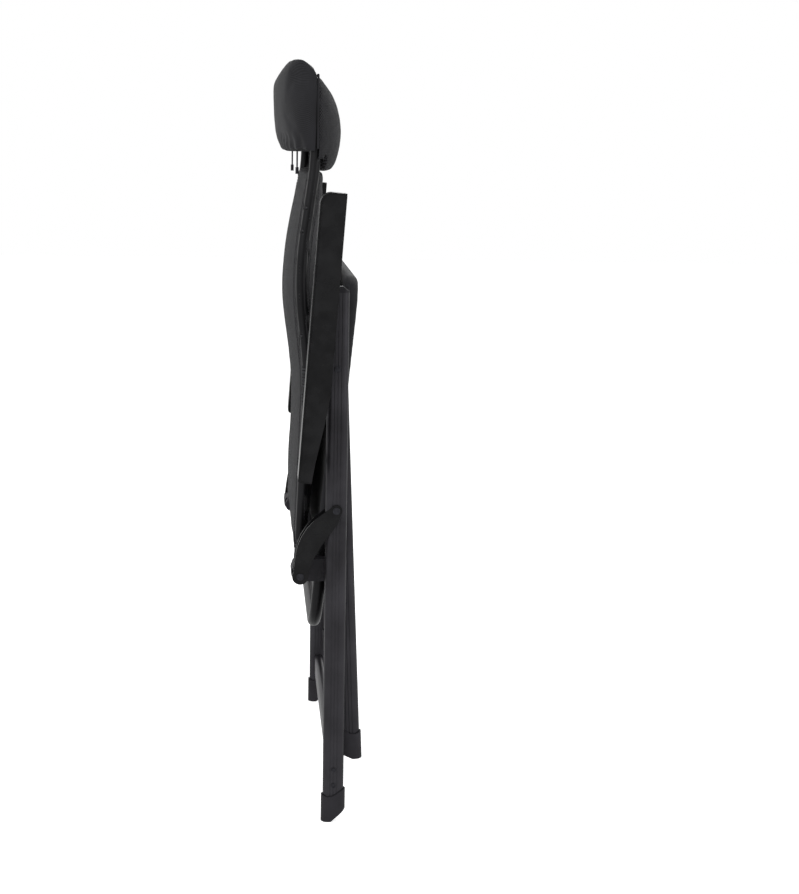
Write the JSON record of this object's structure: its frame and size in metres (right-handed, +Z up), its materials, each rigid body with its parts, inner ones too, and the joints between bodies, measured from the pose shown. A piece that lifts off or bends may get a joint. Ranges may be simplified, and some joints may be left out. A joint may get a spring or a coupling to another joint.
{
  "type": "folding reclining camp chair",
  "caption": "Black folding reclining camp chair with a padded high back, folded flat and standing upright",
  "frame": {"origin": "centre of the object's box, at the level of the rear feet's flat bottoms", "axes": "+Z up the folded chair, +Y across the width, +X towards the front legs; folded and upright"},
  "size_m": [0.1306, 0.67, 1.146],
  "materials": {
    "leg_metal": "satin, lengthwise grooves",
    "tube_metal": "satin",
    "pin_metal": "dark plated",
    "black_plastic": "fine grain",
    "gloss_black": "semi-gloss",
    "mesh_fabric": "open diamond mesh",
    "woven_fabric": "plain weave",
    "pillow_fabric": "open diamond mesh"
  },
  "bodies": {
    "rear_legs": {"rear_leg_left": "leg_metal", "rear_leg_right": "leg_metal", "rear_foot_left": "black_plastic", "rear_foot_right": "black_plastic", "rear_plug_left": "black_plastic", "rear_plug_right": "black_plastic", "rear_stretcher": "leg_metal", "rear_rivets": "pin_metal", "armrest_studs": "black_plastic", "main_pivot_pins": "pin_metal", "main_pivot_washers": "black_plastic"},
    "front_legs": {"front_leg_left": "leg_metal", "front_leg_right": "leg_metal", "front_foot_left": "black_plastic", "front_foot_right": "black_plastic", "front_plugs": "black_plastic", "front_stretcher": "leg_metal", "front_rivets": "pin_metal"},
    "seat": {"seat_frame": "tube_metal", "seat_bracket_left": "black_plastic", "seat_bracket_right": "black_plastic", "seat_bracket_screws": "black_plastic", "seat_pivot_pins": "pin_metal", "seat_pad": "mesh_fabric", "seat_sleeve": "woven_fabric", "back_hinge_pins": "pin_metal"},
    "back": {"back_frame": "tube_metal", "back_ends": "black_plastic", "back_pad": "mesh_fabric", "head_pillow": "pillow_fabric", "pillow_hood": "woven_fabric", "hood_toggle": "black_plastic", "armrest_bolts": "pin_metal"},
    "link_left": {"link_outer_left": "gloss_black", "link_inner_left": "gloss_black", "link_pins_left": "pin_metal", "link_spacer_left": "black_plastic"},
    "link_right": {"link_outer_right": "gloss_black", "link_inner_right": "gloss_black", "link_pins_right": "pin_metal", "link_spacer_right": "black_plastic"},
    "arm_left": {"armrest_left": "gloss_black", "ratchet_left": "black_plastic"},
    "arm_right": {"armrest_right": "gloss_black", "ratchet_right": "black_plastic"}
  },
  "joints": [
    {"name": "leg_fold", "type": "hinge", "parent": "rear_legs", "child": "front_legs", "pos_m": [0.0203, 0, 0.7], "axis": [0, -1, 0], "range_deg": [0, 68]},
    {"name": "seat_fold", "type": "hinge", "parent": "front_legs", "child": "seat", "pos_m": [0.02335, 0, 0.63007], "axis": [0, 1, 0], "range_deg": [0, 101.2]},
    {"name": "back_fold", "type": "hinge", "parent": "seat", "child": "back", "pos_m": [-0.0327, 0, 0.389], "axis": [0, -1, 0], "range_deg": [0, 88]},
    {"name": "link_fold_left", "type": "hinge", "parent": "rear_legs", "child": "link_left", "pos_m": [0.0203, 0, 0.489], "axis": [0, 1, 0], "range_deg": [0, 70]},
    {"name": "link_fold_right", "type": "hinge", "parent": "rear_legs", "child": "link_right", "pos_m": [0.0203, 0, 0.489], "axis": [0, 1, 0], "range_deg": [0, 70]},
    {"name": "armrest_swing_left", "type": "hinge", "parent": "back", "child": "arm_left", "pos_m": [-0.02536, 0, 0.557], "axis": [0, 1, 0], "range_deg": [0, 105]},
    {"name": "armrest_swing_right", "type": "hinge", "parent": "back", "child": "arm_right", "pos_m": [-0.02536, 0, 0.557], "axis": [0, 1, 0], "range_deg": [0, 105]}
  ],
  "couplings": [
    {"joint": "seat_fold", "follows": "leg_fold", "ratio": 1.486},
    {"joint": "back_fold", "follows": "leg_fold", "ratio": 1.294},
    {"joint": "link_fold_left", "follows": "leg_fold", "ratio": 1.0268},
    {"joint": "link_fold_right", "follows": "leg_fold", "ratio": 1.0268}
  ]
}
